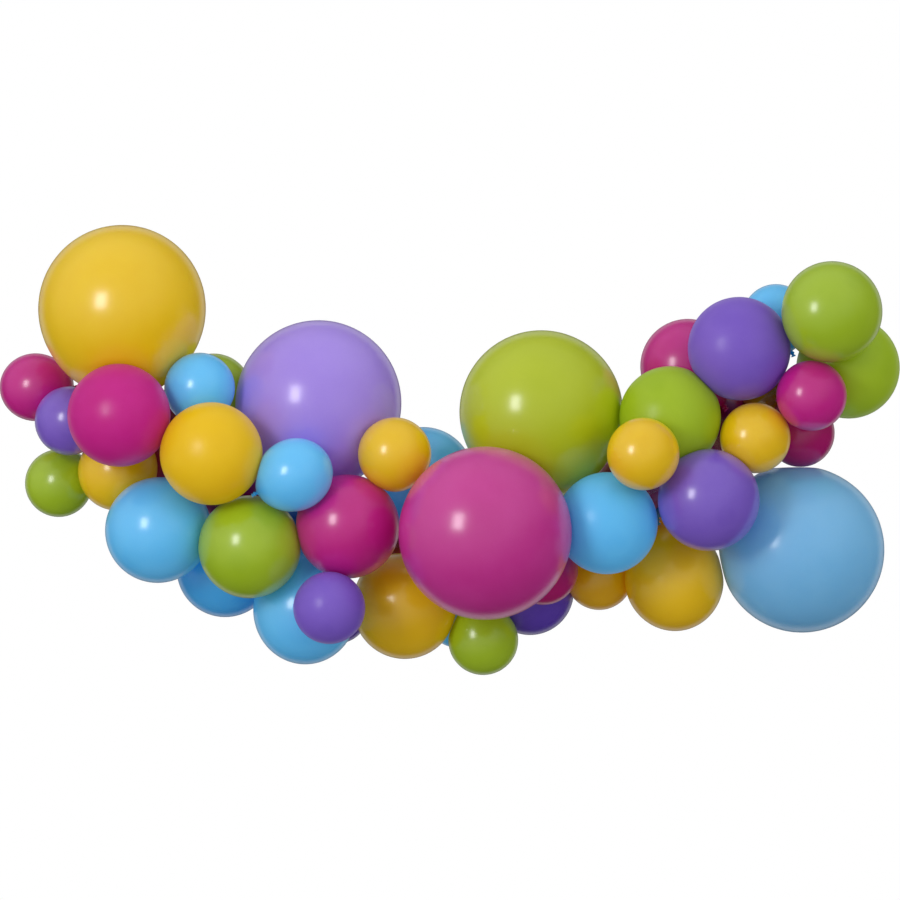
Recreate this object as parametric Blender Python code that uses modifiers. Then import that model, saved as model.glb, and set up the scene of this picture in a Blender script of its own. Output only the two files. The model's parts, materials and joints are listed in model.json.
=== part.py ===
"""Balloon garland: latex balloons of three sizes gathered along a clear perforated strip.

The garland hangs against a wall from the two end tabs of its strip. X runs along the wall from
the left tab to the right one, Z is up and the wall is the plane Y = 0, so every balloon lies at
negative Y. The origin is on the back face of the left tab, below its eyelet.

Only the place of each balloon in the front view is chosen. Its depth follows: the balloons are
laid from the wall outwards, each against those behind it and against the strip.
"""

import math
from dataclasses import dataclass, field

import bmesh
import bpy
import numpy as np
from mathutils import Matrix, Vector

# Radius of a balloon of each size, blown up round
GIANT_RADIUS = 0.2075
MEDIUM_RADIUS = 0.1275
SMALL_RADIUS = 0.0875

# Neck of each size: its length from the body to the lip, and the radius of its knot
GIANT_NECK = 0.030
MEDIUM_NECK = 0.020
SMALL_NECK = 0.016
GIANT_KNOT = 0.011
MEDIUM_KNOT = 0.008
SMALL_KNOT = 0.006

# How much longer the neck half of a body is than the crown half, as a share of its radius
PEAR = 0.08

# How far two balloons press into each other, as a share of their radii
PRESS = 0.07

# Clearances: between pressed skins, and between a neck and anything near it
TOUCH_GAP = 0.0003
NECK_GAP = 0.003

# Strip: a clear band with a row of holes and an eyelet in each flat end tab
STRIP_WIDTH = 0.028
STRIP_THICKNESS = 0.0012
STRIP_STEP = 0.08
STRIP_HOLE_RADIUS = 0.005
STRIP_HOLE_PITCH = 0.2
TAB_LENGTH = 0.060
EYELET_RADIUS = 0.004
EYELET_FROM_END = 0.016
ORIGIN_FROM_END = 0.040

# Front view of the strip's middle line, as (across, up) from the origin
STRIP_ROUTE = [
    (0.000, ORIGIN_FROM_END),
    (0.002, -0.020),
    (0.032, -0.080),
    (0.090, -0.142),
    (0.145, -0.210),
    (0.207, -0.285),
    (0.290, -0.350),
    (0.375, -0.390),
    (0.495, -0.420),
    (0.620, -0.432),
    (0.735, -0.435),
    (0.857, -0.430),
    (0.970, -0.408),
    (1.083, -0.380),
    (1.195, -0.360),
    (1.310, -0.320),
    (1.410, -0.265),
    (1.510, -0.195),
    (1.625, -0.095),
    (1.730, -0.015),
    (1.800, 0.035),
    (1.835, 0.060),
]

COLOURS = {
    "yellow": (0.76, 0.45, 0.02, 1.0),
    "magenta": (0.52, 0.03, 0.23, 1.0),
    "purple": (0.22, 0.11, 0.50, 1.0),
    "blue": (0.15, 0.46, 0.83, 1.0),
    "green": (0.34, 0.50, 0.04, 1.0),
}
LATEX_ROUGHNESS = 0.25
STRIP_COLOUR = (0.85, 0.88, 0.90, 1.0)
STRIP_ROUGHNESS = 0.15

COLLECTION = "balloon_garland"
MERGE = 0.00001


@dataclass
class Size:
    """A balloon size, with the segments round its axis and the rings between crown and neck.

    INSIDE is for small balloons of which little shows between the others.
    """

    radius: float
    neck: float
    knot: float
    segments: int
    rings: int


GIANT = Size(GIANT_RADIUS, GIANT_NECK, GIANT_KNOT, 16, 8)
MEDIUM = Size(MEDIUM_RADIUS, MEDIUM_NECK, MEDIUM_KNOT, 12, 6)
SMALL = Size(SMALL_RADIUS, SMALL_NECK, SMALL_KNOT, 10, 5)
INSIDE = Size(SMALL_RADIUS, SMALL_NECK, SMALL_KNOT, 8, 4)


@dataclass(eq=False)
class Balloon:
    """A balloon's place in the front view, and how it is blown up and turned.

    fill is its share of the size's radius, aim the way its neck points in the front view where
    that shows, and stretch makes a long one longer. press is how far it presses into those that
    it rests on, as a share of their radii. Its depth and its neck are found later.
    """

    name: str
    size: Size
    colour: str
    across: float
    up: float
    fill: float = 1.0
    aim: tuple = None
    stretch: float = 1.0
    press: float = PRESS
    depth: float = 0.0
    neck: Vector = field(default_factory=Vector)

    @property
    def radius(self):
        return self.size.radius * self.fill

    @property
    def centre(self):
        return Vector((self.across, self.depth, self.up))

    @property
    def neck_base(self):
        """Distance from the centre to where the neck leaves the body."""
        return self.radius * self.stretch * (1.0 + PEAR)

    @property
    def tied_reach(self):
        """Least distance from the centre to the strip that leaves room for the neck."""
        return self.neck_base + self.size.neck + NECK_GAP


# Balloons behind the strip, from the wall outwards
BEHIND_STRIP = [
    Balloon("pink_small_at_left_end", SMALL, "magenta", -0.191, -0.048, 0.97, (1.0, 0.0), 1.06),
    Balloon("green_small_at_left_end", SMALL, "green", -0.133, -0.288, 0.965),
    Balloon("magenta_mini_inside_left", INSIDE, "magenta", 0.150, -0.105, 0.62),
    Balloon("magenta_small_inside_left", INSIDE, "magenta", 0.155, -0.240, 0.95),
    Balloon("magenta_small_inside_lower_left", INSIDE, "magenta", 0.300, -0.310, 0.95),
    Balloon("blue_small_inside_middle", INSIDE, "blue", 0.470, -0.410, 0.95),
    Balloon("magenta_mini_inside_middle", INSIDE, "magenta", 0.710, -0.434, 0.57),
    Balloon("blue_mini_inside_right", INSIDE, "blue", 1.385, -0.350, 0.70),
    Balloon("yellow_small_at_left_end", SMALL, "yellow", 0.013, -0.258, 1.125),
    Balloon("green_small_behind_left", SMALL, "green", 0.254, -0.060, 1.10),
    Balloon("blue_medium_behind_left", MEDIUM, "blue", 0.283, -0.501, 0.955),
    Balloon("purple_mini_behind_bottom", INSIDE, "purple", 0.565, -0.613, 0.86),
    Balloon("blue_mini_behind_bottom", INSIDE, "blue", 0.858, -0.635, 0.72),
    Balloon("blue_medium_at_bottom", MEDIUM, "blue", 0.483, -0.604, 1.02, (0.0, 1.0), 1.06),
    Balloon("yellow_medium_at_bottom", MEDIUM, "yellow", 0.732, -0.598, 1.015, (-0.6, 1.0)),
    Balloon("blue_medium_behind_middle", MEDIUM, "blue", 0.778, -0.275),
    Balloon("purple_giant", GIANT, "purple", 0.516, -0.088),
    Balloon("green_giant", GIANT, "green", 1.073, -0.110, 0.985, (0.1, -1.0)),
    Balloon("purple_medium_behind_bottom", MEDIUM, "purple", 1.045, -0.558, 0.86),
    Balloon("yellow_small_behind_bottom", SMALL, "yellow", 1.218, -0.520, 0.97),
    Balloon("magenta_small_behind_bottom", INSIDE, "magenta", 1.078, -0.505),
    Balloon("magenta_small_inside_middle", INSIDE, "magenta", 1.295, -0.295),
    Balloon("magenta_small_inside_right", INSIDE, "magenta", 1.520, -0.135, 0.95),
    Balloon("pink_medium_behind_right", MEDIUM, "magenta", 1.4395, 0.004, 0.932),
    Balloon("yellow_small_inside_right", INSIDE, "yellow", 1.645, -0.070, 0.80),
    Balloon("magenta_small_behind_right", SMALL, "magenta", 1.721, -0.162, 0.98),
    Balloon("blue_small_behind_right", SMALL, "blue", 1.660, 0.125, 0.97, (0.46, -1.0)),
    Balloon("blue_giant", GIANT, "blue", 1.7245, -0.455, 0.995, (-0.6, 0.8)),
    Balloon("yellow_medium_at_right_bottom", MEDIUM, "yellow", 1.405, -0.527, 0.972, (-0.2, 1.0), 1.06),
]

# Balloons in front of the strip, from the wall outwards
BEFORE_STRIP = [
    Balloon("yellow_giant", GIANT, "yellow", 0.025, 0.148, 1.01, (0.0, -1.0)),
    Balloon("purple_small_at_left_end", SMALL, "purple", -0.107, -0.132, 0.985),
    Balloon("green_medium_at_right_end", MEDIUM, "green", 1.842, 0.001),
    Balloon("blue_medium_at_left", MEDIUM, "blue", 0.114, -0.406, 1.03),
    Balloon("blue_small_at_left", SMALL, "blue", 0.219, -0.050, 1.01, press=0.02),
    Balloon("magenta_medium_at_left", MEDIUM, "magenta", 0.017, -0.118, 1.01),
    Balloon("magenta_medium_in_middle", MEDIUM, "magenta", 0.589, -0.396, 1.02),
    Balloon("green_medium_at_left", MEDIUM, "green", 0.344, -0.447, 1.01),
    Balloon("yellow_medium_at_left", MEDIUM, "yellow", 0.248, -0.214, 1.01),
    Balloon("blue_long_small_in_middle", SMALL, "blue", 0.457, -0.267, 1.04, (-1.0, -0.15), 1.06),
    Balloon("yellow_small_in_middle", SMALL, "yellow", 0.7065, -0.215, 1.05),
    Balloon("green_small_at_bottom", SMALL, "green", 0.928, -0.680),
    Balloon("blue_medium_in_middle", MEDIUM, "blue", 1.237, -0.388),
    Balloon("magenta_giant", GIANT, "magenta", 0.933, -0.413, 1.045),
    Balloon("purple_small_at_bottom", SMALL, "purple", 0.543, -0.600, 1.03),
    Balloon("green_medium_at_right", MEDIUM, "green", 1.395, -0.123),
    Balloon("yellow_small_at_right", SMALL, "yellow", 1.608, -0.175, 1.01),
    Balloon("purple_medium_at_right", MEDIUM, "purple", 1.568, 0.049, 1.01),
    Balloon("purple_medium_at_right_bottom", MEDIUM, "purple", 1.492, -0.330),
    Balloon("yellow_small_at_middle_right", SMALL, "yellow", 1.328, -0.215, 1.04),
    Balloon("green_medium_at_right_top", MEDIUM, "green", 1.800, 0.141, 0.99),
    Balloon("magenta_small_at_right_end", SMALL, "magenta", 1.749, -0.069, 1.01),
]


def clear_scene():
    for thing in list(bpy.data.objects):
        bpy.data.objects.remove(thing, do_unlink=True)


def make_collection(name):
    collection = bpy.data.collections.new(name)
    bpy.context.scene.collection.children.link(collection)
    return collection


def make_material(name, colour, roughness):
    material = bpy.data.materials.new(name)
    material.use_nodes = True
    shader = material.node_tree.nodes["Principled BSDF"]
    shader.inputs["Base Color"].default_value = colour
    shader.inputs["Roughness"].default_value = roughness
    shader.inputs["Metallic"].default_value = 0.0
    material.diffuse_color = colour
    return material


# The strip's route

def smooth_route(points, step):
    """Points a step apart along a smooth curve through the given ones."""
    knots = [Vector(p) for p in points]
    knots = [2 * knots[0] - knots[1]] + knots + [2 * knots[-1] - knots[-2]]
    dense = []
    for a, b, c, d in zip(knots, knots[1:], knots[2:], knots[3:]):
        for i in range(20):
            t = i / 20
            bend = (2 * a - 5 * b + 4 * c - d) * t * t + (3 * b - a - 3 * c + d) * t ** 3
            dense.append(b + ((c - a) * t + bend) / 2)
    dense.append(knots[-2])
    lengths = [0.0]
    for a, b in zip(dense, dense[1:]):
        lengths.append(lengths[-1] + (b - a).length)
    middle = lengths[-1] - 2 * TAB_LENGTH
    count = max(2, round(middle / step))
    along = [0.0] + [TAB_LENGTH + middle * i / count for i in range(count + 1)] + [lengths[-1]]
    across = np.interp(along, lengths, [p.x for p in dense])
    up = np.interp(along, lengths, [p.y for p in dense])
    return np.array(along), across, up


def front_of_balloons(across, up, balloons):
    """Depth at a place in the front view that clears the balloons, with room for their necks."""
    depth = -STRIP_THICKNESS / 2
    for balloon in balloons:
        apart = math.hypot(across - balloon.across, up - balloon.up)
        if apart < balloon.tied_reach:
            depth = min(depth, balloon.depth - math.sqrt(balloon.tied_reach ** 2 - apart ** 2))
    return depth


def pull_taut(along, limits):
    """Depths of a band pulled tight between its ends over the limits: their convex hull."""
    hull = []
    for point in zip(along, limits):
        while len(hull) > 1:
            (s0, y0), (s1, y1) = hull[-2:]
            if (y1 - y0) * (point[0] - s0) < (point[1] - y0) * (s1 - s0):
                break
            hull.pop()
        hull.append(point)
    return np.interp(along, [s for s, _ in hull], [y for _, y in hull])


def lay_strip(behind):
    """The strip's stations: length along it, and the point of its middle line at each."""
    along, across, up = smooth_route(STRIP_ROUTE, STRIP_STEP)
    limits = [front_of_balloons(x, z, behind) for x, z in zip(across, up)]
    depths = np.full(len(along), -STRIP_THICKNESS / 2)
    limits[1] = limits[-2] = -STRIP_THICKNESS / 2
    depths[1:-1] = pull_taut(along[1:-1], limits[1:-1])
    return along, [Vector(p) for p in zip(across, depths, up)]


def between_stations(points, count):
    """The strip's stations with further points between them."""
    close = []
    for a, b in zip(points, points[1:]):
        close.extend(a.lerp(b, i / count) for i in range(count))
    return close + [points[-1]]


# Where the balloons rest

def lay_balloon(balloon, laid, strip):
    """Push a balloon back until it rests on the wall, on a balloon or on the strip."""
    depth = -(1.0 - PRESS) * balloon.radius
    for other in laid:
        reach = (1.0 - balloon.press) * (balloon.radius + other.radius)
        apart = math.hypot(balloon.across - other.across, balloon.up - other.up)
        if apart < reach:
            depth = min(depth, other.depth - math.sqrt(reach ** 2 - apart ** 2))
    reach = balloon.tied_reach
    for point in strip:
        apart = math.hypot(balloon.across - point.x, balloon.up - point.z)
        if apart < reach:
            depth = min(depth, point.y - math.sqrt(reach ** 2 - apart ** 2))
    balloon.depth = depth


def gap_between(one, other):
    return (one.centre - other.centre).length - one.radius - other.radius


def touching_group(balloon, balloons):
    """A balloon and all those it is joined to by touching, straight or through others."""
    group = [balloon]
    for member in group:
        group.extend(b for b in balloons if b not in group and gap_between(b, member) < 0.0)
    return group


def room_to_shift(group, strip):
    """How far a group may go forward, and how far back, before it meets the strip or the wall."""
    forward = math.inf
    back = math.inf
    for balloon in group:
        back = min(back, -(1.0 - PRESS) * balloon.radius - balloon.depth)
        for point in strip:
            apart = math.hypot(balloon.across - point.x, balloon.up - point.z)
            if apart < balloon.tied_reach:
                clear = math.sqrt(balloon.tied_reach ** 2 - apart ** 2)
                if point.y < balloon.depth:
                    forward = min(forward, balloon.depth - point.y - clear)
                else:
                    back = min(back, point.y - balloon.depth - clear)
    return forward, back


def gather(balloons, strip):
    """Shift each group that touches no other in depth, by the least that joins it to the rest."""
    for balloon in balloons:
        group = touching_group(balloon, balloons)
        rest = [b for b in balloons if b not in group]
        if len(group) > len(rest):
            continue
        forward, back = room_to_shift(group, strip)
        shifts = []
        for one in group:
            for other in rest:
                reach = (1.0 - PRESS) * (one.radius + other.radius)
                apart = math.hypot(one.across - other.across, one.up - other.up)
                if apart < reach:
                    deep = math.sqrt(reach ** 2 - apart ** 2)
                    shifts.append(other.depth - deep - one.depth)
                    shifts.append(other.depth + deep - one.depth)
        shifts = [shift for shift in shifts if -forward <= shift <= back]
        if shifts:
            shift = min(shifts, key=abs)
            for one in group:
                one.depth += shift


def find_neck(balloon, balloons, strip, taken):
    """Turn the neck towards its aim, or to the strip, by the least angle that keeps it clear."""
    if balloon.aim:
        wish = Vector((balloon.aim[0], 0.25, balloon.aim[1])).normalized()
    else:
        wish = (min(strip, key=lambda p: (p - balloon.centre).length) - balloon.centre).normalized()
    ways = []
    golden = math.pi * (3.0 - math.sqrt(5.0))
    for i in range(600):
        height = 1.0 - (2 * i + 1) / 600
        level = math.sqrt(1.0 - height ** 2)
        ways.append(Vector((level * math.cos(golden * i), level * math.sin(golden * i), height)))
    ways.sort(key=lambda way: wish.angle(way))
    near = [b for b in balloons if b is not balloon and gap_between(b, balloon) < 0.1]
    best = None
    for way in [wish] + ways:
        points = neck_points(balloon, way)
        room = min(neck_room(balloon, p, near, strip, taken) for p in points)
        if best is None or room > best[0]:
            best = (room, way)
        if room > NECK_GAP:
            best = (room, way)
            break
    balloon.neck = best[1]
    taken.extend((p, balloon.size.knot) for p in neck_points(balloon, balloon.neck))


def neck_points(balloon, way):
    count = 4
    return [
        balloon.centre + way * (balloon.neck_base + balloon.size.neck * i / (count - 1))
        for i in range(count)
    ]


def neck_room(balloon, point, near, strip, taken):
    """The least space round a point of the neck, beyond the knot's own radius."""
    room = -point.y
    for other in near:
        room = min(room, (point - other.centre).length - other.radius * (1.0 + PEAR / 4))
    for spot, knot in taken:
        room = min(room, (point - spot).length - knot)
    for place in strip:
        beside = math.hypot(point.x - place.x, point.z - place.z)
        if beside < STRIP_WIDTH:
            room = min(room, abs(point.y - place.y) - STRIP_THICKNESS)
    return room - balloon.size.knot


# Making a balloon

def balloon_profile(balloon):
    """Points (out, up) from the crown down to the lip; the neck points down."""
    size = balloon.size
    radius = balloon.radius / math.sqrt(math.cos(math.pi / size.segments))
    top = balloon.radius * balloon.stretch
    points = [(0.0, top)]
    steps = size.rings + 1
    for i in range(1, steps):
        angle = math.pi * i / steps
        longer = 1.0
        if angle > math.pi / 2:
            longer = 1.0 + PEAR * math.cos(angle) ** 2
        points.append((radius * math.sin(angle), top * longer * math.cos(angle)))
    base = -balloon.neck_base
    points.append((size.knot * 0.8, base))
    points.append((size.knot, base - size.neck * 0.45))
    points.append((size.knot * 0.9, base - size.neck))
    points.append((0.0, base - size.neck))
    return points


def turn_profile(name, points, segments):
    """Mesh of a profile turned round Z with a Screw modifier."""
    outline = bpy.data.meshes.new(name + "_profile")
    edges = [(i, i + 1) for i in range(len(points) - 1)]
    outline.from_pydata([(x, 0.0, z) for x, z in points], edges, [])
    guide = bpy.data.objects.new(name + "_profile", outline)
    bpy.context.scene.collection.objects.link(guide)
    screw = guide.modifiers.new("turn", "SCREW")
    screw.axis = "Z"
    screw.steps = screw.render_steps = segments
    screw.use_merge_vertices = True
    screw.merge_threshold = MERGE
    screw.use_normal_calculate = True
    graph = bpy.context.evaluated_depsgraph_get()
    mesh = bpy.data.meshes.new_from_object(guide.evaluated_get(graph))
    bpy.data.objects.remove(guide, do_unlink=True)
    bpy.data.meshes.remove(outline)
    mesh.name = name
    return mesh


def contact_planes(balloon, balloons):
    """Planes that the body is pressed flat against, as (way out, distance from its centre)."""
    planes = [(Vector((0.0, 1.0, 0.0)), -balloon.depth)]
    swell = balloon.stretch * (1.0 + PEAR)
    for other in balloons:
        away = other.centre - balloon.centre
        apart = away.length
        reach = balloon.radius * swell + other.radius * other.stretch * (1.0 + PEAR)
        if other is balloon or apart > reach:
            continue
        share = (apart ** 2 + balloon.radius ** 2 - other.radius ** 2) / (2 * apart)
        planes.append((away / apart, share - TOUCH_GAP / 2))
    return planes


def make_balloon(balloon, balloons, material, collection):
    mesh = turn_profile(balloon.name, balloon_profile(balloon), balloon.size.segments)
    turn = (-balloon.neck).to_track_quat("Z", "Y")
    planes = contact_planes(balloon, balloons)
    for vertex in mesh.vertices:
        is_body = vertex.co.z > MERGE - balloon.neck_base
        place = turn @ vertex.co
        if is_body:
            share = min(limit / max(place.dot(way), limit) for way, limit in planes)
            place = place * share
        vertex.co = place
    mesh.shade_smooth()
    mesh.materials.append(material)
    body = bpy.data.objects.new(balloon.name, mesh)
    body.location = balloon.centre
    collection.objects.link(body)


# Making the strip

def strip_frame(points, index):
    """Directions along and across the strip at a station."""
    before = points[max(index - 1, 0)]
    after = points[min(index + 1, len(points) - 1)]
    run = (after - before).normalized()
    side = Vector((-run.z, 0.0, run.x)).normalized()
    return run, side


def make_strip_band(points, material, collection):
    """The plain band: a row of quads along the middle line, thickened evenly."""
    band = bmesh.new()
    bmesh.ops.create_grid(band, x_segments=len(points) - 1, y_segments=1, size=0.5)
    band.verts.ensure_lookup_table()
    for vertex in band.verts:
        index = round((vertex.co.x + 0.5) * (len(points) - 1))
        side = strip_frame(points, index)[1]
        vertex.co = points[index] + side * math.copysign(STRIP_WIDTH / 2, vertex.co.y)
    mesh = bpy.data.meshes.new("strip")
    band.to_mesh(mesh)
    band.free()
    mesh.materials.append(material)
    strip = bpy.data.objects.new("clear_strip", mesh)
    collection.objects.link(strip)
    shell = strip.modifiers.new("thickness", "SOLIDIFY")
    shell.thickness = STRIP_THICKNESS
    shell.offset = 0.0
    shell.use_even_offset = True
    return strip


def strip_hole_places(along):
    """Lengths along the strip of its eyelets and of the holes between them."""
    first = EYELET_FROM_END
    last = along[-1] - EYELET_FROM_END
    places = [(first, EYELET_RADIUS), (last, EYELET_RADIUS)]
    count = round((last - first) / STRIP_HOLE_PITCH) - 2
    pitch = (last - first) / (count + 1)
    for i in range(1, count + 1):
        places.append((first + pitch * i, STRIP_HOLE_RADIUS))
    return places


def cut_strip_holes(strip, along, points, cutters):
    """Cut every hole with one mesh of short rods, each square to the strip."""
    rods = bmesh.new()
    for place, radius in strip_hole_places(along):
        index = int(np.searchsorted(along, place)) - 1
        share = (place - along[index]) / (along[index + 1] - along[index])
        centre = points[index].lerp(points[index + 1], share)
        run = (points[index + 1] - points[index]).normalized()
        side = strip_frame(points, index)[1]
        out = run.cross(side).normalized()
        matrix = Matrix.Translation(centre) @ out.to_track_quat("Z", "X").to_matrix().to_4x4()
        bmesh.ops.create_cone(
            rods, cap_ends=True, segments=6, radius1=radius, radius2=radius,
            depth=STRIP_THICKNESS * 8, matrix=matrix,
        )
    mesh = bpy.data.meshes.new("strip_hole_rods")
    rods.to_mesh(mesh)
    rods.free()
    cutter = bpy.data.objects.new("strip_hole_rods", mesh)
    cutter.hide_render = True
    cutter.display_type = "WIRE"
    cutters.objects.link(cutter)
    holes = strip.modifiers.new("holes", "BOOLEAN")
    holes.operation = "DIFFERENCE"
    holes.solver = "EXACT"
    holes.object = cutter


def main():
    clear_scene()
    collection = make_collection(COLLECTION)
    cutters = make_collection("cutters")
    materials = {
        name: make_material(name + "_latex", colour, LATEX_ROUGHNESS)
        for name, colour in COLOURS.items()
    }
    clear = make_material("clear_plastic", STRIP_COLOUR, STRIP_ROUGHNESS)

    laid = []
    for balloon in BEHIND_STRIP:
        lay_balloon(balloon, laid, [])
        laid.append(balloon)
    along, strip_points = lay_strip(laid)
    close_points = between_stations(strip_points, 5)
    for balloon in BEFORE_STRIP:
        lay_balloon(balloon, laid, close_points)
        laid.append(balloon)
    gather(laid, close_points)
    taken = []
    for balloon in laid:
        find_neck(balloon, laid, close_points, taken)

    for balloon in laid:
        make_balloon(balloon, laid, materials[balloon.colour], collection)
    strip = make_strip_band(strip_points, clear, collection)
    cut_strip_holes(strip, along, strip_points, cutters)


if __name__ == "__main__":
    main()
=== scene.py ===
"""Balloon garland: glossy latex balloons with tied necks, gathered along a clear punched strip.

Every piece is made from its own CAD node. The centre, the radius and the neck of each balloon are
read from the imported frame, and so is the route of the strip, so each piece sits where its node is.
"""

import json
import math
from dataclasses import dataclass

import bmesh
import bpy
import numpy as np
from bpy.props import FloatProperty, FloatVectorProperty, IntProperty, PointerProperty
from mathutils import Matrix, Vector


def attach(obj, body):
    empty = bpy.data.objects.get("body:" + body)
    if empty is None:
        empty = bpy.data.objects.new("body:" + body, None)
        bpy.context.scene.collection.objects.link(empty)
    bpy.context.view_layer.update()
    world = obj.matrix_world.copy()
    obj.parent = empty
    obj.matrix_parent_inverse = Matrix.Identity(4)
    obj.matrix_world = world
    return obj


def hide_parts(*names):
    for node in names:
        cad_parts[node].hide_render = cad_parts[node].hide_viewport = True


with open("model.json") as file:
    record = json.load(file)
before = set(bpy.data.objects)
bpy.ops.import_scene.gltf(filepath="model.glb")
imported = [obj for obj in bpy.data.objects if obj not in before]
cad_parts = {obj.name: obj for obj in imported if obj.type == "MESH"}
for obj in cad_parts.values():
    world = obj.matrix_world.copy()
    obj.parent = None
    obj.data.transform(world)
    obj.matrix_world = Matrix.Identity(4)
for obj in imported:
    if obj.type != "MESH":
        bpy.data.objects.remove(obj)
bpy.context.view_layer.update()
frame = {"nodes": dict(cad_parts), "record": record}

bl_info = {
    "name": "Balloon Garland",
    "version": (1, 0, 0),
    "blender": (4, 5, 0),
    "location": "3D View > Sidebar > Garland",
    "description": "Makes the latex balloons and the clear strip of a hanging garland, and a studio",
    "category": "Object",
}

BODY = "root"
STRIP_NODE = "clear_strip"

# Balloons that show no sharp highlight in the photo
DULL_BALLOONS = (
    "blue_medium_in_middle", "green_medium_at_right", "green_medium_at_right_end",
    "magenta_medium_at_left", "purple_medium_at_right", "purple_small_at_bottom",
    "yellow_medium_at_left",
)

# Balloons at the back, made deeper in colour because the photo shows them in deep shade
SHADED_BALLOONS = (
    "blue_medium_behind_left", "magenta_small_behind_bottom", "magenta_small_behind_right",
    "purple_medium_behind_bottom", "purple_mini_behind_bottom", "yellow_small_behind_bottom",
)

SLOTS = {part["node"]: part["material_slot"] for part in frame["record"]["subparts"]}

# Where the rings of a CAD neck lie, as shares of the neck's length
NECK_RINGS = (0.0, 0.45, 1.0)

# How near in metres two measures of the CAD nodes have to be to count as one
SAME_RADIUS = 0.0001
SAME_DEPTH = 0.00002
SAME_WIDTH = 0.00005
SAME_STATION = 0.004

# How far round one of its points a CAD neck is looked for, as shares of the neck's length
NECK_CROWD = 0.8
NECK_REACH = 0.9

# Between which radii a body's own is looked for, in how many halvings, and which of its points'
# radii is taken, counted from the smallest, as those that are pressed flat give too small a one
SMALLEST_RADIUS = 0.02
LARGEST_RADIUS = 0.5
HALVINGS = 30
FREE_POINT = 0.7

# Distance in metres between two points of the strip's middle line
LINE_STEP = 0.01

# Knot, waist, flared tail and rolled lip, as (share of the knot radius, share of the neck)
KNOT_OUTLINE = (
    (0.62, 0.28), (0.82, 0.34), (0.97, 0.42), (1.00, 0.50), (0.92, 0.58), (0.70, 0.65),
    (0.56, 0.71), (0.58, 0.78), (0.68, 0.85), (0.78, 0.90), (0.90, 0.925), (0.96, 0.955),
    (0.92, 0.985), (0.82, 1.00), (0.72, 0.985), (0.66, 0.95), (0.50, 0.88), (0.25, 0.84),
    (0.0, 0.83),
)

# How far the camera and the lights stand from the garland, and on which side of it
CAMERA_FAR = 7.0
KEY_WAY = Vector((-0.568, -0.790, 0.227))
KEY_FAR = 7.0
FILL_WAY = Vector((0.65, -0.74, 0.15))
FILL_FAR = 9.0

# Where the room is brightest as the gloss mirrors it
BRIGHT_WAY = (-0.35, -0.62, 0.70)
WHITE = (1.0, 1.0, 1.0, 1.0)


# Settings

class BalloonSettings(bpy.types.PropertyGroup):
    """Necks, knots and the feel of the balloons."""

    giant_neck: FloatProperty(
        name="Giant neck", description="Length of a giant balloon's neck, body to lip",
        default=0.030, unit="LENGTH",
    )
    medium_neck: FloatProperty(
        name="Medium neck", description="Length of a medium balloon's neck, body to lip",
        default=0.020, unit="LENGTH",
    )
    small_neck: FloatProperty(
        name="Small neck", description="Length of a small balloon's neck, body to lip",
        default=0.016, unit="LENGTH",
    )
    giant_knot: FloatProperty(
        name="Giant knot", description="Radius of a giant balloon's knot",
        default=0.011, unit="LENGTH",
    )
    medium_knot: FloatProperty(
        name="Medium knot", description="Radius of a medium balloon's knot",
        default=0.008, unit="LENGTH",
    )
    small_knot: FloatProperty(
        name="Small knot", description="Radius of a small balloon's knot",
        default=0.006, unit="LENGTH",
    )
    pear: FloatProperty(
        name="Pear", description="How much longer the neck half of a body is than the crown half",
        default=0.08, min=0.0, max=0.4, subtype="FACTOR",
    )
    long_stretch: FloatProperty(
        name="Long stretch", description="How much longer than wide a long balloon is",
        default=1.06, min=1.0, max=1.5,
    )
    press_sharpness: FloatProperty(
        name="Press sharpness", description="How sharply a body turns in to where it is pressed flat",
        default=90.0, min=8.0, max=200.0,
    )
    skin_gap: FloatProperty(
        name="Skin gap", description="Space left between two balloons that press on each other",
        default=0.0003, unit="LENGTH",
    )
    pleats: IntProperty(
        name="Pleats", description="Small folds where the latex gathers into the knot",
        default=11, min=0, max=24,
    )


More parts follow.
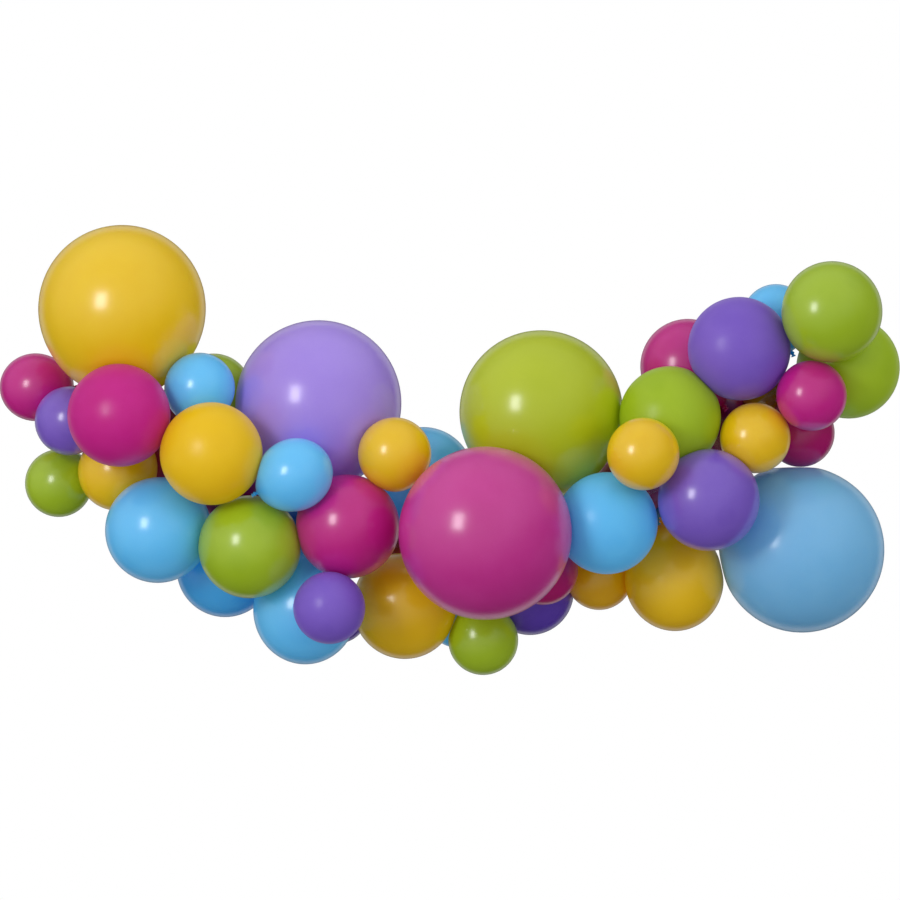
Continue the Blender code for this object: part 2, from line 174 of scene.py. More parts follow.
class LatexSettings(bpy.types.PropertyGroup):
    """Colours and finish of the latex. The giant balloons are paler in the photo, so here too."""

    yellow: FloatVectorProperty(
        name="Yellow", description="Golden yellow latex",
        default=(0.68, 0.45, 0.002), subtype="COLOR", min=0.0, max=1.0,
    )
    magenta: FloatVectorProperty(
        name="Magenta", description="Magenta latex",
        default=(0.47, 0.008, 0.22), subtype="COLOR", min=0.0, max=1.0,
    )
    purple: FloatVectorProperty(
        name="Purple", description="Violet purple latex",
        default=(0.187, 0.102, 0.485), subtype="COLOR", min=0.0, max=1.0,
    )
    blue: FloatVectorProperty(
        name="Blue", description="Light blue latex",
        default=(0.12, 0.47, 0.775), subtype="COLOR", min=0.0, max=1.0,
    )
    green: FloatVectorProperty(
        name="Green", description="Lime green latex",
        default=(0.31, 0.435, 0.012), subtype="COLOR", min=0.0, max=1.0,
    )
    giant_yellow: FloatVectorProperty(
        name="Giant yellow", description="Yellow latex, stretched thin",
        default=(0.69, 0.475, 0.004), subtype="COLOR", min=0.0, max=1.0,
    )
    giant_magenta: FloatVectorProperty(
        name="Giant magenta", description="Magenta latex, stretched thin",
        default=(0.485, 0.034, 0.265), subtype="COLOR", min=0.0, max=1.0,
    )
    giant_purple: FloatVectorProperty(
        name="Giant purple", description="Purple latex, stretched thin",
        default=(0.34, 0.235, 0.66), subtype="COLOR", min=0.0, max=1.0,
    )
    giant_blue: FloatVectorProperty(
        name="Giant blue", description="Blue latex, stretched thin",
        default=(0.182, 0.445, 0.685), subtype="COLOR", min=0.0, max=1.0,
    )
    giant_green: FloatVectorProperty(
        name="Giant green", description="Green latex, stretched thin",
        default=(0.40, 0.47, 0.006), subtype="COLOR", min=0.0, max=1.0,
    )
    glow: FloatProperty(
        name="Glow", description="Share of the light that wanders inside before it leaves",
        default=0.35, min=0.0, max=1.0, subtype="FACTOR",
    )
    giant_glow: FloatProperty(
        name="Giant glow", description="The same share for the thinner skin of a giant balloon",
        default=0.6, min=0.0, max=1.0, subtype="FACTOR",
    )
    glow_depth: FloatProperty(
        name="Glow depth", description="How far light wanders inside the balloon",
        default=0.04, unit="LENGTH",
    )
    # Painted glow: emission in the skin's own colour that brightens its shaded parts
    inner_light: FloatProperty(
        name="Inner light", description="Light the skin gives off, for what comes through it",
        default=0.20, min=0.0, max=1.0, subtype="FACTOR",
    )
    # Painted shade: balloons lying between others get a deeper tone of their colour
    hidden_depth: FloatProperty(
        name="Hidden depth", description="How much deeper the colour is between other balloons",
        default=1.35, min=1.0, max=3.0,
    )
    shaded_depth: FloatProperty(
        name="Shaded depth", description="How much deeper the colour is where the photo is in shade",
        default=1.3, min=1.0, max=3.0,
    )
    gloss: FloatProperty(
        name="Gloss", description="Strength of the glossy outer skin",
        default=0.9, min=0.0, max=1.0, subtype="FACTOR",
    )
    gloss_roughness: FloatProperty(
        name="Gloss roughness", description="Roughness of the glossy outer skin",
        default=0.22, min=0.0, max=1.0, subtype="FACTOR",
    )
    dull_gloss: FloatProperty(
        name="Dull gloss", description="Strength of the outer skin without a sharp highlight",
        default=0.2, min=0.0, max=1.0, subtype="FACTOR",
    )
    dull_roughness: FloatProperty(
        name="Dull roughness", description="Roughness of the outer skin without a sharp highlight",
        default=0.45, min=0.0, max=1.0, subtype="FACTOR",
    )


class StripSettings(bpy.types.PropertyGroup):
    """The clear punched strip that the garland hangs by."""

    width: FloatProperty(
        name="Width", description="Width of the strip", default=0.028, unit="LENGTH",
    )
    thickness: FloatProperty(
        name="Thickness", description="Thickness of the strip", default=0.0012, unit="LENGTH",
    )
    pitch: FloatProperty(
        name="Hole pitch", description="Distance between two holes", default=0.025, unit="LENGTH",
    )
    hole_radius: FloatProperty(
        name="Hole radius", description="Radius of the knot holes", default=0.005, unit="LENGTH",
    )
    eyelet_radius: FloatProperty(
        name="Eyelet radius", description="Radius of the hole in each end tab",
        default=0.004, unit="LENGTH",
    )
    colour: FloatVectorProperty(
        name="Colour", description="Tint of the clear plastic",
        default=(0.85, 0.88, 0.90), subtype="COLOR", min=0.0, max=1.0,
    )


class StageSettings(bpy.types.PropertyGroup):
    """Camera, light and floor."""

    view_across: FloatProperty(
        name="View across", description="Middle of the picture along the wall",
        default=0.845, unit="LENGTH",
    )
    view_up: FloatProperty(
        name="View up", description="Height of the middle of the picture",
        default=-0.205, unit="LENGTH",
    )
    view_width: FloatProperty(
        name="View width", description="Width of the picture at true size",
        default=2.25, unit="LENGTH",
    )
    floor_height: FloatProperty(
        name="Floor height", description="Height of the floor", default=-1.5, unit="LENGTH",
    )
    key_power: FloatProperty(
        name="Key power", description="Brightness of the tall soft box on the left",
        default=160.0, min=0.0, unit="POWER",
    )
    fill_power: FloatProperty(
        name="Fill power", description="Brightness of the wide fill light on the right",
        default=110.0, min=0.0, unit="POWER",
    )
    room_light: FloatProperty(
        name="Room light", description="Brightness of the white room as it lights the balloons",
        default=0.68, min=0.0,
    )
    mirrored_room: FloatProperty(
        name="Mirrored room", description="Brightness of the room as the gloss mirrors it",
        default=0.7, min=0.0,
    )
    mirrored_wall: FloatProperty(
        name="Mirrored wall", description="Brightness of the wall as the gloss mirrors it",
        default=0.45, min=0.0,
    )


# Reading the frame

@dataclass
class Size:
    """A balloon size: a word in its nodes' names, its neck, and how finely it is made here."""

    word: str
    neck: float
    knot: float
    sides: int
    rows: int

    @property
    def below_body(self):
        """How far below the body the middle of the CAD neck's rings is."""
        return self.neck * sum(NECK_RINGS) / len(NECK_RINGS)


@dataclass
class Balloon:
    """A balloon as its CAD node gives it. way points from the centre to the neck."""

    node: str
    size: Size
    centre: np.ndarray
    radius: float
    way: np.ndarray
    stretch: float


def node_points(node):
    """The separate vertices of a CAD node."""
    points = np.array([vertex.co[:] for vertex in frame["nodes"][node].data.vertices], float)
    return np.unique(points.round(6), axis=0)


def body_radii(points, middle, way, size, cad_sides, pear, stretch):
    """For each point of a body, the radius of the balloon that it would lie on."""
    along = (points - middle) @ way
    facets = math.sqrt(math.cos(math.pi / cad_sides))
    out = np.linalg.norm(points - middle - np.outer(along, way), axis=1) * facets
    low = np.full(len(points), SMALLEST_RADIUS)
    high = np.full(len(points), LARGEST_RADIUS)
    for _ in range(HALVINGS):
        radius = (low + high) / 2.0
        up = radius * stretch * (1.0 + pear) + size.below_body + along
        longer = 1.0 + np.where(up > 0.0, pear * np.clip(up / radius, 0.0, 1.0) ** 2, 0.0)
        inside = np.hypot(out, up / (longer * stretch)) < radius
        high = np.where(inside, radius, high)
        low = np.where(inside, low, radius)
    return low


def read_balloon(node, size, pear, long_stretch):
    """Find a balloon's neck by its crowded rings, then the body that its free points lie on."""
    points = node_points(node)
    apart = np.linalg.norm(points[:, None] - points[None], axis=2)
    crowd = (apart < NECK_CROWD * size.neck).sum(axis=1)
    ring = points[crowd == crowd.max()].mean(axis=0)
    in_neck = np.linalg.norm(points - ring, axis=1) < NECK_REACH * size.neck
    neck = points[in_neck]
    body = points[~in_neck]
    middle = neck.mean(axis=0)
    way = np.linalg.svd(neck - middle)[2][0]
    way *= math.copysign(1.0, way @ (middle - body.mean(axis=0)))

    # Each ring of the neck has one point for each side of the CAD body
    cad_sides = len(neck) // len(NECK_RINGS)
    found = []
    for stretch in (1.0, long_stretch):
        radii = body_radii(body, middle, way, size, cad_sides, pear, stretch)
        radius = float(np.quantile(radii, FREE_POINT))
        found.append(((abs(radii - radius) < SAME_RADIUS).sum(), radius, stretch))
    _, radius, stretch = max(found, key=lambda choice: choice[0])
    centre = middle - way * (radius * stretch * (1.0 + pear) + size.below_body)
    return Balloon(node, size, centre, radius, way, stretch)


def read_balloons(settings):
    """Every balloon in the frame, by node."""
    sizes = [
        Size("giant", settings.giant_neck, settings.giant_knot, 112, 72),
        Size("medium", settings.medium_neck, settings.medium_knot, 72, 52),
        Size("mini", settings.small_neck, settings.small_knot, 56, 42),
        Size("inside", settings.small_neck, settings.small_knot, 56, 42),
        Size("small", settings.small_neck, settings.small_knot, 56, 42),
    ]
    balloons = {}
    for node in sorted(frame["nodes"]):
        if node == STRIP_NODE:
            continue
        size = next(size for size in sizes if size.word in node)
        balloons[node] = read_balloon(node, size, settings.pear, settings.long_stretch)
    return balloons


def read_strip(width):
    """The middle line of the strip: halfway between the two corners of each of its stations."""
    points = node_points(STRIP_NODE)
    apart = np.linalg.norm(points[:, None] - points[None], axis=2)
    level = abs(points[:, None, 1] - points[None, :, 1]) < SAME_DEPTH
    pairs = np.argwhere((abs(apart - width) < SAME_WIDTH) & level)
    middles = np.array([(points[a] + points[b]) / 2.0 for a, b in pairs if a < b])
    middles = middles[np.argsort(middles[:, 0])]
    stations = [middles[:1]]
    for middle in middles[1:]:
        if np.linalg.norm(stations[-1][-1] - middle) < SAME_STATION:
            stations[-1] = np.vstack([stations[-1], middle])
        else:
            stations.append(middle[None])
    return np.array([station.mean(axis=0) for station in stations])


# Making a balloon

def ease(value):
    """A soft step from 0 to 1."""
    value = np.clip(value, 0.0, 1.0)
    return value * value * (3.0 - 2.0 * value)


def balloon_outline(balloon, pear):
    """Half outline from the crown to the inside of the lip, as (out, up), with the neck down."""
    radius = balloon.radius
    top = radius * balloon.stretch
    knot = balloon.size.knot
    neck = balloon.size.neck
    base = -top * (1.0 + pear)
    leave = math.radians(160.0)

    points = []
    for i in range(balloon.size.rows + 1):
        angle = leave * i / balloon.size.rows
        longer = 1.0 + (pear * math.cos(angle) ** 2 if angle > math.pi / 2 else 0.0)
        points.append((radius * math.sin(angle), top * longer * math.cos(angle)))

    # The body draws in to the neck on one easy curve
    start = Vector(points[-1])
    run = (start - Vector(points[-2])).normalized()
    end = Vector((knot * 0.55, base - neck * 0.22))
    reach = (end - start).length
    for i in range(1, 13):
        t = i / 12
        hold = 2 * t ** 3 - 3 * t ** 2 + 1
        pull = t ** 3 - 2 * t ** 2 + t
        settle = t ** 3 - t ** 2
        place = start * hold + run * reach * pull
        place += end * (1.0 - hold) + Vector((0.0, -1.0)) * reach * 0.45 * settle
        points.append((place.x, place.y))

    points.extend((knot * out, base - neck * down) for out, down in KNOT_OUTLINE)
    return points


def turn_outline(name, points, sides):
    """Mesh of an outline turned round its own Z with a Screw modifier."""
    mesh = bpy.data.meshes.new(name + "_outline")
    edges = [(i, i + 1) for i in range(len(points) - 1)]
    mesh.from_pydata([(out, 0.0, up) for out, up in points], edges, [])
    guide = bpy.data.objects.new(name + "_outline", mesh)
    bpy.context.scene.collection.objects.link(guide)
    screw = guide.modifiers.new("turn", "SCREW")
    screw.steps = screw.render_steps = sides
    screw.use_merge_vertices = True
    screw.merge_threshold = 0.00001
    screw.use_normal_calculate = True
    graph = bpy.context.evaluated_depsgraph_get()
    turned = bpy.data.meshes.new_from_object(guide.evaluated_get(graph))
    bpy.data.objects.remove(guide, do_unlink=True)
    bpy.data.meshes.remove(mesh)
    turned.name = name
    return turned


def gather_neck(points, balloon, pear, pleats):
    """Pleats where the latex draws in, the wraps of the knot, and a tail that leans a little."""
    top = balloon.radius * balloon.stretch * (1.0 + pear)
    neck = balloon.size.neck
    below = (-top - points[:, 2]) / neck
    turn = np.arctan2(points[:, 1], points[:, 0])
    folds = np.exp(-((below - 0.05) / 0.28) ** 2) * np.sin(pleats * turn) * 0.10
    wraps = np.exp(-((below - 0.48) / 0.14) ** 2) * np.sin(2.0 * turn + 16.0 * below) * 0.13
    flare = ease((below - 0.74) / 0.2) * (0.14 * np.sin(2.0 * turn) + 0.05 * np.sin(5.0 * turn))
    points[:, :2] *= (1.0 + folds + wraps + flare)[:, None]
    lean = ease((below - 0.55) / 0.5) * balloon.size.knot * 0.35
    points[:, 0] += lean
    points[:, 1] -= lean * 0.4
    return points


def press_planes(balloon, balloons, pear, gap):
    """The planes that a body is pressed flat against, as (way out, distance from its centre)."""
    wall = (np.array((0.0, 1.0, 0.0)), -balloon.centre[1])
    planes = [wall]
    for other in balloons.values():
        away = other.centre - balloon.centre
        apart = float(np.linalg.norm(away))
        reach = balloon.radius * balloon.stretch + other.radius * other.stretch
        if other is balloon or apart > reach * (1.0 + pear):
            continue
        share = (apart ** 2 + balloon.radius ** 2 - other.radius ** 2) / (2.0 * apart)
        planes.append((away / apart, share - gap / 2.0))
    return planes


def press(points, planes, sharpness):
    """Draw points in towards the centre, so that none passes a plane and every turn stays soft."""
    total = np.ones(len(points))
    for way, limit in planes:
        total += np.clip(points @ way / limit, 0.0, None) ** sharpness
    return total ** (-1.0 / sharpness)


def make_balloon(balloon, balloons, settings, material):
    """One balloon, turned, tied, pressed against its neighbours and set in its node's place."""
    mesh = turn_outline(
        "balloon_" + balloon.node, balloon_outline(balloon, settings.pear), balloon.size.sides
    )
    points = np.empty(len(mesh.vertices) * 3)
    mesh.vertices.foreach_get("co", points)
    points = gather_neck(points.reshape(-1, 3), balloon, settings.pear, settings.pleats)

    turn = (-Vector(balloon.way)).to_track_quat("Z", "Y").to_matrix()
    placed = points @ np.array(turn).T
    planes = press_planes(balloon, balloons, settings.pear, settings.skin_gap)
    share = press(placed, planes, settings.press_sharpness)
    top = balloon.radius * balloon.stretch * (1.0 + settings.pear)
    on_body = ease((points[:, 2] + top) / (0.02 * balloon.radius))
    placed *= (1.0 + (share - 1.0) * on_body)[:, None]

    mesh.vertices.foreach_set("co", placed.ravel())
    along = mesh.attributes.new("along", "FLOAT", "POINT")
    along.data.foreach_set("value", points[:, 2] / balloon.radius)
    mesh.shade_smooth()
    mesh.materials.clear()
    mesh.materials.append(material)
    piece = bpy.data.objects.new("balloon_" + balloon.node, mesh)
    piece.location = balloon.centre
    bpy.context.scene.collection.objects.link(piece)
    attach(piece, BODY)
    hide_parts(balloon.node)


def make_balloons(*words):
    """Make the balloons of one size, which may go by several words."""
    garland = bpy.context.scene.garland_balloons
    balloons = read_balloons(garland)
    chosen = [balloon for balloon in balloons.values() if balloon.size.word in words]
    if not chosen:
        raise RuntimeError(f"the frame has no {words[0]} balloons")
    for balloon in chosen:
        material = latex_for(balloon)
        make_balloon(balloon, balloons, garland, material)


# Making the strip

def smooth_line(points, step):
    """Points about a step apart on a smooth curve through the given ones, with their lengths."""
    ends = [2 * points[0] - points[1], *points, 2 * points[-1] - points[-2]]
    dense = []
    for a, b, c, d in zip(ends, ends[1:], ends[2:], ends[3:]):
        for i in range(24):
            t = i / 24
            bend = (2 * a - 5 * b + 4 * c - d) * t * t + (3 * b - a - 3 * c + d) * t ** 3
            dense.append(b + ((c - a) * t + bend) / 2)
    dense.append(points[-1])
    dense = np.array(dense)
    lengths = np.concatenate([[0.0], np.cumsum(np.linalg.norm(np.diff(dense, axis=0), axis=1))])
    count = max(2, round(lengths[-1] / step))
    along = np.linspace(0.0, lengths[-1], count + 1)
    return along, np.array([np.interp(along, lengths, dense[:, i]) for i in range(3)]).T


def punched_cell(band, start, length, width, hole, rings=3, steps=6):
    """One cell of the flat strip: a rectangle with a round hole in its middle."""
    half = length / 2.0
    corners = [(half, -width / 2), (half, width / 2), (-half, width / 2), (-half, -width / 2)]
    edge = []
    for corner, following in zip(corners, corners[1:] + corners[:1]):
        edge.extend(Vector(corner).lerp(Vector(following), i / steps) for i in range(steps))
    made = []
    for ring in range(rings):
        share = ring / (rings - 1)
        row = []
        for i, far in enumerate(edge):
            angle = -math.pi / 4 + 2.0 * math.pi * i / len(edge)
            near = Vector((math.cos(angle), math.sin(angle))) * hole
            place = near.lerp(far, share)
            row.append(band.verts.new((start + half + place.x, place.y, 0.0)))
        made.append(row)
    for inner, outer in zip(made, made[1:]):
        for i in range(len(edge)):
            j = (i + 1) % len(edge)
            band.faces.new((inner[i], outer[i], outer[j], inner[j]))


def flat_strip(length, settings):
    """The strip laid flat along X: a tab with an eyelet at each end, and punched cells between."""
    tab = 4.0 * settings.eyelet_radius
    band = bmesh.new()
    punched_cell(band, 0.0, 2.0 * tab, settings.width, settings.eyelet_radius)
    count = round((length - 4.0 * tab) / settings.pitch)
    pitch = (length - 4.0 * tab) / count
    for i in range(count):
        hole = settings.hole_radius * (1.0 if i % 2 == 0 else 0.56)
        punched_cell(band, 2.0 * tab + pitch * i, pitch, settings.width, hole)
    punched_cell(band, length - 2.0 * tab, 2.0 * tab, settings.width, settings.eyelet_radius)
    bmesh.ops.remove_doubles(band, verts=band.verts, dist=0.00002)
    corner = settings.width * 0.22
    for vertex in band.verts:
        beyond = abs(vertex.co.y) - settings.width / 2.0 + corner
        if beyond > 0.0:
            inset = corner - math.sqrt(corner ** 2 - beyond ** 2)
            vertex.co.x = min(max(vertex.co.x, inset), length - inset)
    return band


def make_strip():
    """The punched strip, bent along its CAD node's middle line and given its thickness."""
    settings = bpy.context.scene.garland_strip
    along, line = smooth_line(read_strip(settings.width), LINE_STEP)
    line[:, 1] = np.minimum(line[:, 1], -settings.thickness / 2.0)
    run = np.gradient(line, along, axis=0)
    band = flat_strip(along[-1], settings)
    for vertex in band.verts:
        place = [np.interp(vertex.co.x, along, line[:, i]) for i in range(3)]
        ahead = [np.interp(vertex.co.x, along, run[:, i]) for i in range(3)]
        side = Vector((-ahead[2], 0.0, ahead[0])).normalized()
        vertex.co = Vector(place) + side * vertex.co.y
    mesh = bpy.data.meshes.new("punched_strip")
    band.to_mesh(mesh)
    band.free()
    mesh.shade_smooth()
    mesh.materials.append(clear_plastic("clear_strip_plastic", settings.colour))
    piece = bpy.data.objects.new("punched_strip", mesh)
    bpy.context.scene.collection.objects.link(piece)
    shell = piece.modifiers.new("thickness", "SOLIDIFY")
    shell.thickness = settings.thickness
    shell.offset = 0.0
    shell.use_even_offset = True
    edge = piece.modifiers.new("edge", "EDGE_SPLIT")
    edge.split_angle = math.radians(50.0)
    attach(piece, BODY)
    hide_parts(STRIP_NODE)


# Materials

def add_node(tree, kind, links=(), **values):
    """Add a shader node, set its values and link its inputs."""
    node = tree.nodes.new(kind)
    for key, value in values.items():
        setattr(node, key, value)
    for socket, source in dict(links).items():
        if isinstance(source, bpy.types.NodeSocket):
            tree.links.new(source, node.inputs[socket])
        else:
            node.inputs[socket].default_value = source
    return node


def object_noise(tree, scale, detail):
    """Noise that lies on the object, and differs from one balloon to the next."""
    coords = add_node(tree, "ShaderNodeTexCoord").outputs["Object"]
    place = add_node(tree, "ShaderNodeObjectInfo").outputs["Location"]
    moved = add_node(tree, "ShaderNodeVectorMath", {0: coords, 1: place}, operation="ADD")
    links = {"Vector": moved.outputs["Vector"], "Scale": scale, "Detail": detail}
    return add_node(tree, "ShaderNodeTexNoise", links).outputs["Fac"]


def spread(tree, source, from_low, from_high, to_low, to_high):
    """Map one range of a value to another, with soft ends."""
    links = {
        "Value": source, "From Min": from_low, "From Max": from_high,
        "To Min": to_low, "To Max": to_high,
    }
    node = add_node(tree, "ShaderNodeMapRange", links, interpolation_type="SMOOTHSTEP")
    return node.outputs["Result"]


def shade(tree, share, colour, other):
    """Mix two colours."""
    node = add_node(
        tree, "ShaderNodeMix", {"Factor": share, 6: colour, 7: other}, data_type="RGBA"
    )
    return node.outputs[2]


def deeper(colour, by):
    """A deeper tone of a colour: darker, and richer in its own hue."""
    return [min(max(part, 0.0), 1.0) ** by for part in colour[:3]] + [1.0]


def paler(colour, by):
    """A paler tone of a colour."""
    return [part + (1.0 - part) * by for part in colour[:3]] + [1.0]


def latex(name, colour, glow, inner_light, settings, gloss, gloss_roughness):
    """Stretched latex: dense at neck and crown, thin and uneven between, under a glossy skin. The
    skin also has a painted glow of its own colour.
    """
    material = bpy.data.materials.new(name)
    material.use_nodes = True
    tree = material.node_tree
    shader = tree.nodes["Principled BSDF"]

    # The attribute along runs from the crown at 1 through the belly at 0 to the neck below -1
    along = add_node(tree, "ShaderNodeAttribute", attribute_name="along").outputs["Fac"]
    at_neck = spread(tree, along, -1.10, -0.72, 1.0, 0.0)
    at_crown = spread(tree, along, 0.96, 1.0, 0.0, 0.12)
    mottle = spread(tree, object_noise(tree, 7.0, 3.0), 0.35, 0.65, 0.0, 1.0)
    speckle = spread(tree, object_noise(tree, 420.0, 2.0), 0.3, 0.7, 0.0, 1.0)

    flecks = add_node(tree, "ShaderNodeMath", {0: speckle, 1: 0.10}, operation="MULTIPLY")
    tone = shade(tree, mottle, paler(colour, 0.004), deeper(colour, 1.04))
    tone = shade(tree, flecks.outputs[0], tone, deeper(colour, 1.35))
    tone = shade(tree, at_crown, tone, deeper(colour, 1.4))
    tone = shade(tree, at_neck, tone, deeper(colour, 1.55))
    tree.links.new(tone, shader.inputs["Base Color"])
    # Painted glow: the skin gives off a deeper tone of its own colour, which lifts its shade as light
    # through thin latex would
    inner = add_node(tree, "ShaderNodeGamma", {"Color": tone, "Gamma": 1.6})
    tree.links.new(inner.outputs["Color"], shader.inputs["Emission Color"])
    shader.inputs["Emission Strength"].default_value = inner_light

    uneven = spread(tree, object_noise(tree, 26.0, 3.0), 0.3, 0.7, 0.30, 0.40)
    tree.links.new(uneven, shader.inputs["Roughness"])
    bump = add_node(tree, "ShaderNodeBump", {
        "Height": object_noise(tree, 300.0, 3.0), "Strength": 0.05, "Distance": 0.0006,
    })
    tree.links.new(bump.outputs["Normal"], shader.inputs["Normal"])

    shader.inputs["Subsurface Weight"].default_value = glow
    shader.inputs["Subsurface Radius"].default_value = [0.35 + 0.65 * part for part in colour[:3]]
    shader.inputs["Subsurface Scale"].default_value = settings.glow_depth
    shader.inputs["Specular IOR Level"].default_value = 0.25
    shader.inputs["Coat Weight"].default_value = gloss
    shader.inputs["Coat Roughness"].default_value = gloss_roughness
    shader.inputs["Coat IOR"].default_value = 1.5
    material.diffuse_color = [*colour[:3], 1.0]
    return material


def latex_for(balloon):
    """The latex of a balloon's colour, size and place, made once."""
    settings = bpy.context.scene.garland_latex
    giant = balloon.size.word == "giant"
    hidden = "inside" in balloon.node
    shaded = balloon.node in SHADED_BALLOONS
    dull = balloon.node in DULL_BALLOONS
    hue = ("giant_" if giant else "") + SLOTS[balloon.node].removesuffix("_latex")
    finish = ("dull_" if dull else "") + ("hidden_" if hidden else "")
    name = finish + ("shaded_" if shaded else "") + hue + "_skin"
    if name in bpy.data.materials:
        return bpy.data.materials[name]
    colour = getattr(settings, hue)
    # Painted shade: balloons between others and those at the back take a deeper tone, and the ones
    # between others get no painted glow
    if hidden:
        colour = deeper(colour, settings.hidden_depth)
    if shaded:
        colour = deeper(colour, settings.shaded_depth)
    glow = settings.giant_glow if giant else settings.glow
    inner_light = 0.0 if hidden else settings.inner_light
    gloss = settings.dull_gloss if dull else settings.gloss
    roughness = settings.dull_roughness if dull else settings.gloss_roughness
    return latex(name, colour, glow, inner_light, settings, gloss, roughness)


def clear_plastic(name, colour):
    """Clear flexible plastic, a little milky, with fine rub marks."""
    material = bpy.data.materials.new(name)
    material.use_nodes = True
    tree = material.node_tree
    shader = tree.nodes["Principled BSDF"]
    cloudy = spread(tree, object_noise(tree, 40.0, 3.0), 0.3, 0.7, 0.0, 1.0)
    tint = shade(tree, cloudy, [*colour, 1.0], paler(colour, 0.6))
    tree.links.new(tint, shader.inputs["Base Color"])
    rubbed = spread(tree, object_noise(tree, 60.0, 3.0), 0.3, 0.7, 0.06, 0.14)
    tree.links.new(rubbed, shader.inputs["Roughness"])
    bump = add_node(tree, "ShaderNodeBump", {
        "Height": object_noise(tree, 60.0, 2.0), "Strength": 0.05, "Distance": 0.0002,
    })
    tree.links.new(bump.outputs["Normal"], shader.inputs["Normal"])
    shader.inputs["Transmission Weight"].default_value = 0.97
    shader.inputs["IOR"].default_value = 1.46
    return material


# Stage

def soft_box(name, power, width, height, place, target):
    """A flat light of one size, turned towards its target."""
    light = bpy.data.lights.new(name, "AREA")
    light.shape = "RECTANGLE"
    light.size = width
    light.size_y = height
    light.energy = power
    lamp = bpy.data.objects.new(name, light)
    lamp.location = place
    lamp.rotation_euler = (Vector(target) - Vector(place)).to_track_quat("-Z", "Y").to_euler()
    bpy.context.scene.collection.objects.link(lamp)
    return lamp


def make_world(settings):
    """A white room: pure white behind the garland, and dimmer as it lights the balloons."""
    world = bpy.data.worlds.new("white_room")
    bpy.context.scene.world = world
    world.use_nodes = True
    tree = world.node_tree
    shown = tree.nodes["Background"]
    shown.inputs["Color"].default_value = WHITE
    way = add_node(tree, "ShaderNodeTexCoord").outputs["Generated"]
    across, away, up = add_node(tree, "ShaderNodeSeparateXYZ", {"Vector": way}).outputs
    height = spread(tree, up, -1.0, 1.0, settings.room_light * 0.72, settings.room_light * 1.24)
    side = spread(tree, across, -1.0, 1.0, 1.04, 0.96)
    strength = add_node(tree, "ShaderNodeMath", {0: height, 1: side}, operation="MULTIPLY")
    lit = add_node(tree, "ShaderNodeBackground", {
        "Color": WHITE, "Strength": strength.outputs[0],
    })

    # As the gloss mirrors it, the room is bright in front and high on the left, and the wall shows
    # as a pale ring behind, round the garland's own shadow
    toward = add_node(
        tree, "ShaderNodeVectorMath", {0: way, 1: BRIGHT_WAY}, operation="DOT_PRODUCT"
    ).outputs["Value"]
    front = spread(tree, toward, -0.35, 0.75, 0.03, settings.mirrored_room)
    fade = spread(tree, away, -0.1, 1.0, 1.0, 0.2)
    front = add_node(tree, "ShaderNodeMath", {0: front, 1: fade}, operation="MULTIPLY")
    wall = spread(tree, away, 0.68, 0.80, 0.0, settings.mirrored_wall)
    shadow = spread(tree, away, 0.92, 0.97, 1.0, 0.05)
    ring = add_node(tree, "ShaderNodeMath", {0: wall, 1: shadow}, operation="MULTIPLY")
    both = add_node(
        tree, "ShaderNodeMath", {0: front.outputs[0], 1: ring.outputs[0]}, operation="ADD"
    )
    mirrored = add_node(tree, "ShaderNodeBackground", {
        "Color": WHITE, "Strength": both.outputs[0],
    })
    rays = add_node(tree, "ShaderNodeLightPath").outputs
    mixed = add_node(tree, "ShaderNodeMixShader", {
        0: rays["Is Glossy Ray"], 1: lit.outputs[0], 2: mirrored.outputs[0],
    })
    mixed = add_node(tree, "ShaderNodeMixShader", {
        0: rays["Is Camera Ray"], 1: mixed.outputs[0], 2: shown.outputs[0],
    })
    tree.links.new(mixed.outputs[0], tree.nodes["World Output"].inputs["Surface"])


def make_floor(settings):
    """A pale matt floor with a faint grain. The room's light stands for what it throws back."""
    mesh = bpy.data.meshes.new("floor")
    slab = bmesh.new()
    bmesh.ops.create_grid(slab, x_segments=8, y_segments=8, size=9.0)
    slab.to_mesh(mesh)
    slab.free()
    material = bpy.data.materials.new("pale_floor")
    material.use_nodes = True
    tree = material.node_tree
    shader = tree.nodes["Principled BSDF"]
    grain = spread(tree, object_noise(tree, 6.0, 4.0), 0.3, 0.7, 0.0, 1.0)
    tone = shade(tree, grain, (0.80, 0.80, 0.79, 1.0), (0.84, 0.84, 0.83, 1.0))
    tree.links.new(tone, shader.inputs["Base Color"])
    shader.inputs["Roughness"].default_value = 0.8
    mesh.materials.append(material)
    floor = bpy.data.objects.new("floor", mesh)
    floor.location = (settings.view_across, 0.0, settings.floor_height)
    floor.visible_glossy = False
    floor.visible_diffuse = False
    bpy.context.scene.collection.objects.link(floor)


def make_camera(settings):
    """A level camera, square to the wall, as far off as a long lens."""
    camera = bpy.data.cameras.new("camera")
    camera.type = "ORTHO"
    camera.ortho_scale = settings.view_width
    rig = bpy.data.objects.new("camera", camera)
    rig.location = (settings.view_across, -CAMERA_FAR, settings.view_up)
    rig.rotation_euler = (math.radians(90.0), 0.0, 0.0)
    bpy.context.scene.collection.objects.link(rig)
    bpy.context.scene.camera = rig


def make_stage():
    """The camera, the white room, the floor and two lights."""
    settings = bpy.context.scene.garland_stage
    bpy.context.scene.view_settings.view_transform = "Standard"
    middle = Vector((settings.view_across, -0.35, settings.view_up))
    make_camera(settings)
    make_world(settings)
    make_floor(settings)
    key = middle + KEY_WAY * KEY_FAR
    soft_box("tall_soft_box", settings.key_power, 1.6, 2.4, key, middle)
    fill = middle + FILL_WAY * FILL_FAR
    soft_box("wide_fill", settings.fill_power, 4.5, 4.5, fill, middle).visible_glossy = False


# The add-on

class GARLAND_OT_giant_balloons(bpy.types.Operator):
    """Make the giant balloons"""

    bl_idname = "garland.giant_balloons"
    bl_label = "Giant Balloons"

    def execute(self, context):
        make_balloons("giant")
        return {"FINISHED"}


class GARLAND_OT_medium_balloons(bpy.types.Operator):
    """Make the medium balloons"""

    bl_idname = "garland.medium_balloons"
    bl_label = "Medium Balloons"

    def execute(self, context):
        make_balloons("medium")
        return {"FINISHED"}


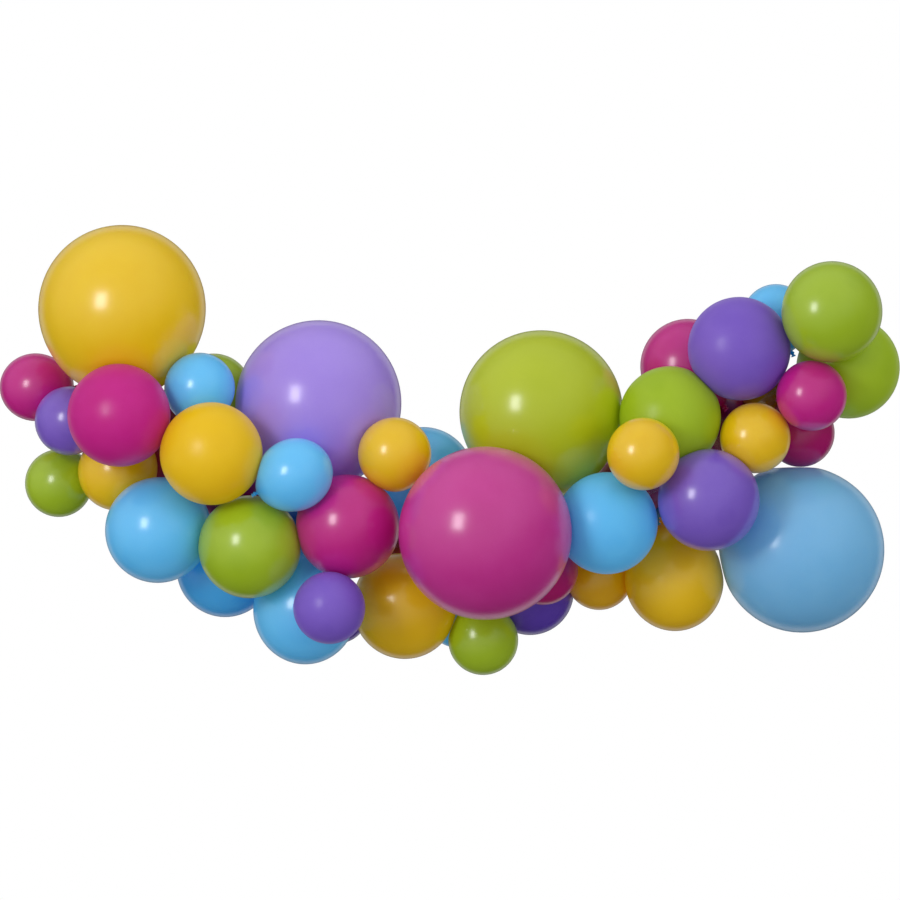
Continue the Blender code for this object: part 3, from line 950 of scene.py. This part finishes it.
class GARLAND_OT_small_balloons(bpy.types.Operator):
    """Make the small balloons, with the mini ones and those inside the garland"""

    bl_idname = "garland.small_balloons"
    bl_label = "Small Balloons"

    def execute(self, context):
        make_balloons("small", "mini", "inside")
        return {"FINISHED"}


class GARLAND_OT_strip(bpy.types.Operator):
    """Make the clear punched strip"""

    bl_idname = "garland.strip"
    bl_label = "Clear Strip"

    def execute(self, context):
        make_strip()
        return {"FINISHED"}


class GARLAND_OT_stage(bpy.types.Operator):
    """Make the camera, the lights and the floor"""

    bl_idname = "garland.stage"
    bl_label = "Stage"

    def execute(self, context):
        make_stage()
        return {"FINISHED"}


OPERATORS = (
    GARLAND_OT_stage,
    GARLAND_OT_strip,
    GARLAND_OT_giant_balloons,
    GARLAND_OT_medium_balloons,
    GARLAND_OT_small_balloons,
)
SETTINGS = {
    "garland_balloons": BalloonSettings,
    "garland_latex": LatexSettings,
    "garland_strip": StripSettings,
    "garland_stage": StageSettings,
}


class GARLAND_PT_panel(bpy.types.Panel):
    """Lists the garland's pieces and its settings"""

    bl_idname = "GARLAND_PT_panel"
    bl_label = "Balloon Garland"
    bl_space_type = "VIEW_3D"
    bl_region_type = "UI"
    bl_category = "Garland"

    def draw(self, context):
        for operator in OPERATORS:
            self.layout.operator(operator.bl_idname)
        for name, group in SETTINGS.items():
            box = self.layout.box()
            for key in group.__annotations__:
                box.prop(getattr(context.scene, name), key)


def register():
    for group in SETTINGS.values():
        bpy.utils.register_class(group)
    for name, group in SETTINGS.items():
        setattr(bpy.types.Scene, name, PointerProperty(type=group))
    for operator in OPERATORS:
        bpy.utils.register_class(operator)
    bpy.utils.register_class(GARLAND_PT_panel)


def unregister():
    bpy.utils.unregister_class(GARLAND_PT_panel)
    for operator in reversed(OPERATORS):
        bpy.utils.unregister_class(operator)
    for name in SETTINGS:
        delattr(bpy.types.Scene, name)
    for group in reversed(SETTINGS.values()):
        bpy.utils.unregister_class(group)


def main():
    register()
    bpy.ops.garland.stage()
    bpy.ops.garland.strip()
    bpy.ops.garland.giant_balloons()
    bpy.ops.garland.medium_balloons()
    bpy.ops.garland.small_balloons()
    bpy.context.view_layer.update()


if __name__ == "__main__":
    main()
